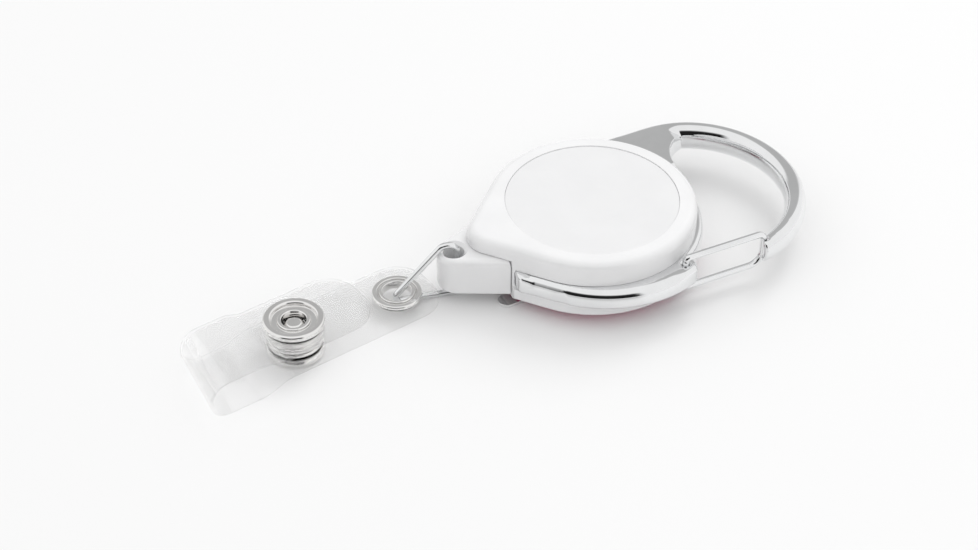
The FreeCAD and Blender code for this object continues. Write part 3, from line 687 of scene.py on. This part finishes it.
def turned(name, outline, radii, reach, body, node):
    """Lathe piece about an upright axis on the strap, from (radius, level) points in millimetres."""
    solid = outline[0][0] == 0
    profile = softened(outline, radii, closed=not solid)
    sides = 96
    corners = []
    index = []
    for r, z in profile:
        if r < 1e-6:
            index.append([len(corners)] * sides)
            corners.append(on_strap(reach, 0, z))
            continue
        index.append([len(corners) + k for k in range(sides)])
        for k in range(sides):
            angle = 2 * math.pi * k / sides
            corners.append(on_strap(reach + r * math.cos(angle), r * math.sin(angle), z))
    faces = []
    for i in range(len(profile) - (1 if solid else 0)):
        a, b = index[i], index[(i + 1) % len(profile)]
        for k in range(sides):
            n = (k + 1) % sides
            quad = list(dict.fromkeys((a[k], a[n], b[n], b[k])))
            if len(quad) > 2:
                faces.append(quad)
    piece = linked(name, mesh_of(name, corners, faces), nickel)
    stand_for(piece, body, "snap_metal", node)


turned("clinched_eyelet",
       [(3.79, 1.81), (3.79, 2.36), (3.05, 2.36), (2.95, 2.08), (2.78, 2.08), (2.68, 2.44), (2.20, 2.44),
        (2.20, 1.08), (3.40, 1.08), (3.40, 1.29), (2.45, 1.29), (2.45, 1.81)],
       [0.06, 0.27, 0.27, 0.08, 0.08, 0.2, 0.2, 0.08, 0.1, 0.05, 0.05, 0.05], 0, "strap", "eyelet")
turned("snap_front_ring",
       [(4.59, 5.36), (4.59, 6.29), (3.46, 6.29), (3.34, 5.64), (2.52, 5.60), (2.42, 5.98), (1.86, 5.98),
        (1.74, 5.40), (1.74, 4.75), (2.10, 4.66), (2.57, 4.62), (2.57, 5.36)],
       [0.2, 0.5, 0.5, 0.15, 0.12, 0.24, 0.24, 0.2, 0.05, 0.1, 0.05, 0.05],
       snap_reach, "flap", "snap_cap_ring")
turned("sprung_socket",
       [(2.64, 4.84), (4.38, 4.84), (4.38, 4.06), (4.14, 3.94), (4.38, 3.80), (4.38, 2.66), (2.00, 2.66),
        (2.00, 3.10), (3.50, 3.10), (3.50, 3.64), (2.00, 3.64), (2.00, 4.50), (2.64, 4.54)],
       [0.05, 0.2, 0.25, 0.08, 0.3, 0.4, 0.15, 0.05, 0.05, 0.05, 0.05, 0.1, 0.04],
       snap_reach, "flap", "snap_socket")
turned("pressed_stud",
       [(0, 1.86), (4.09, 1.86), (4.09, 2.34), (1.85, 2.48), (1.30, 2.86), (1.30, 3.60), (1.54, 3.95),
        (1.54, 4.75), (1.10, 5.36), (0, 5.46)],
       [0, 0.12, 0.2, 0.3, 0.2, 0.15, 0.1, 0.3, 0.5, 0], snap_reach, "strap", "snap_stud")
turned("back_button",
       [(0, 0.05), (3.60, 0.02), (4.38, 0.15), (4.48, 0.70), (4.20, 1.34), (2.38, 1.34), (2.38, 1.85),
        (0, 1.85)],
       [0, 0.5, 0.3, 0.3, 0.2, 0.05, 0.05, 0], snap_reach, "strap", "snap_post")

# ---- Cord ---------------------------------------------------------------------------------------
# Thin braided nylon cord, wound on the spool, led round the neck's corner and knotted
# in the end fitting. The lead spans case and fitting, so it is drawn out between the two.
nylon = plastic("braided_nylon", (0.020, 0.020, 0.022), (0.034, 0.034, 0.037), gloss=0.6)


def cord_tree():
    """Geometry nodes: a round cord along each edge path. Inputs Radius, Sides and Material."""
    tree = bpy.data.node_groups.new("round_cord", "GeometryNodeTree")
    face = tree.interface
    face.new_socket("Geometry", in_out="INPUT", socket_type="NodeSocketGeometry")
    face.new_socket("Radius", in_out="INPUT", socket_type="NodeSocketFloat")
    face.new_socket("Sides", in_out="INPUT", socket_type="NodeSocketInt")
    face.new_socket("Material", in_out="INPUT", socket_type="NodeSocketMaterial")
    face.new_socket("Geometry", in_out="OUTPUT", socket_type="NodeSocketGeometry")
    nodes = tree.nodes
    links = tree.links
    start = nodes.new("NodeGroupInput")
    end = nodes.new("NodeGroupOutput")
    route = nodes.new("GeometryNodeMeshToCurve")
    section = nodes.new("GeometryNodeCurvePrimitiveCircle")
    sweep = nodes.new("GeometryNodeCurveToMesh")
    sweep.inputs["Fill Caps"].default_value = True
    smooth = nodes.new("GeometryNodeSetShadeSmooth")
    real = nodes.new("GeometryNodeRealizeInstances")
    paint = nodes.new("GeometryNodeSetMaterial")
    links.new(start.outputs["Geometry"], route.inputs["Mesh"])
    links.new(start.outputs["Radius"], section.inputs["Radius"])
    links.new(start.outputs["Sides"], section.inputs["Resolution"])
    links.new(route.outputs["Curve"], sweep.inputs["Curve"])
    links.new(section.outputs["Curve"], sweep.inputs["Profile Curve"])
    links.new(sweep.outputs["Mesh"], smooth.inputs["Geometry"])
    links.new(smooth.outputs["Geometry"], real.inputs["Geometry"])
    links.new(real.outputs["Geometry"], paint.inputs["Geometry"])
    links.new(start.outputs["Material"], paint.inputs["Material"])
    links.new(paint.outputs["Geometry"], end.inputs["Geometry"])
    return tree


round_cord = cord_tree()


def corded(name, route, radius, sides):
    """Cord along row-frame points, turned into a plain mesh."""
    mesh = bpy.data.meshes.new(name)
    mesh.from_pydata(route, [(i, i + 1) for i in range(len(route) - 1)], [])
    piece = bpy.data.objects.new(name, mesh)
    bpy.context.scene.collection.objects.link(piece)
    sweep = piece.modifiers.new("sweep", "NODES")
    sweep.node_group = round_cord
    values = {"Radius": radius, "Sides": sides, "Material": nylon}
    for item in round_cord.interface.items_tree:
        if item.in_out == "INPUT" and item.name in values:
            sweep[item.identifier] = values[item.name]
    settled(piece)
    return piece


def wound_turns():
    """Path of the cord on the spool: layers that run up and down the groove in turn."""
    layers = 3
    turns = 3.0
    first_radius = 9.56
    layer_step = 0.66
    low = 4.40
    high = 6.25
    steps = 72
    route = []
    for layer in range(layers):
        radius = first_radius + layer_step * layer
        for k in range(int(turns * steps)):
            share = k / (turns * steps)
            climb = share if layer % 2 == 0 else 1 - share
            angle = 2 * math.pi * (k / steps)
            level = low + (high - low) * climb
            route.append(Vector((radius * math.cos(angle), radius * math.sin(angle), level)) * MM)
    return route


cord_level = 5.35
wound = corded("wound_turns", wound_turns(), radius=0.33 * MM, sides=10)
stand_for(wound, "spool", "cord", "wound_cord")


def lead_route():
    """Path of the cord from the spool's rim round the corner of the neck to the knot."""
    corners = [(-10.28, -5.48), (-13.2, 0), (-18.1, 0)]
    bends = softened(corners, [0, 2.1, 0], closed=False, steps=10)
    steps = 24
    run = [bends[-2].lerp(bends[-1], k / steps) for k in range(1, steps + 1)]
    return [Vector((p.x, p.y, cord_level)) * MM for p in bends[:-1] + run]


lead = corded("lead_cord", lead_route(), radius=0.34 * MM, sides=14)
stand_for(lead, None, "cord", "cord_lead")
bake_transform(lead, "case", "fitting", Vector((-15.2, 0, 5.35)) * MM, Vector((-17.4, 0, 5.35)) * MM)


def knot_route():
    """Path of an overhand knot, drawn tight."""
    middle = -18.9
    half_depth = 0.34
    lobe = 0.23
    route = []
    count = 120
    for k in range(count + 1):
        t = 2 * math.pi * k / count
        x = math.sin(t) + 2 * math.sin(2 * t)
        y = math.cos(t) - 2 * math.cos(2 * t)
        z = -math.sin(3 * t)
        route.append(Vector((middle + half_depth * z, lobe * x, cord_level + lobe * y)) * MM)
    return route


knot = corded("tight_knot", knot_route(), radius=0.31 * MM, sides=12)
stand_for(knot, "fitting", "cord", "cord_knot")

# ---- Spool, spring and guide ------------------------------------------------------------------
# The spool and its washer are natural acetal. The power spring and the snap's two wires are
# blued spring steel, and a nickel bush guides the cord out of the case.
acetal = plastic("natural_acetal", (0.74, 0.73, 0.69), (0.78, 0.77, 0.73), gloss=0.4)
steel = metal("spring_steel", (0.30, 0.31, 0.33), (0.38, 0.39, 0.41), gloss=0.3, spread=0.08,
              depth=0.002 * MM)
moulded("spool", "spool", acetal, "spool_plastic", edge=0.10 * MM)
moulded("spring_washer", "spool", acetal, "spool_plastic", edge=0.04 * MM)
moulded("cord_guide", "case", nickel, "snap_metal", edge=0.04 * MM)
dress("power_spring", steel)
dress("snap_spring", steel)

# ---- Belt clip --------------------------------------------------------------------------------
# Nickel plated spring steel, folded and riveted to the case so that it swivels. It rests
# turned a little about its rivet.
clip_turn = math.radians(-2.8)
clip_plate = metal("clip_plate", (0.80, 0.80, 0.80), (0.86, 0.86, 0.86), gloss=0.2, spread=0.06,
                   depth=0.0015 * MM)
clip = moulded("belt_clip", "clip", clip_plate, "clip_steel", edge=0.07 * MM)
clip.data.transform(Matrix.Rotation(clip_turn, 4, "Z"))
moulded("clip_rivet", "case", clip_plate, "clip_steel", edge=0.05 * MM)
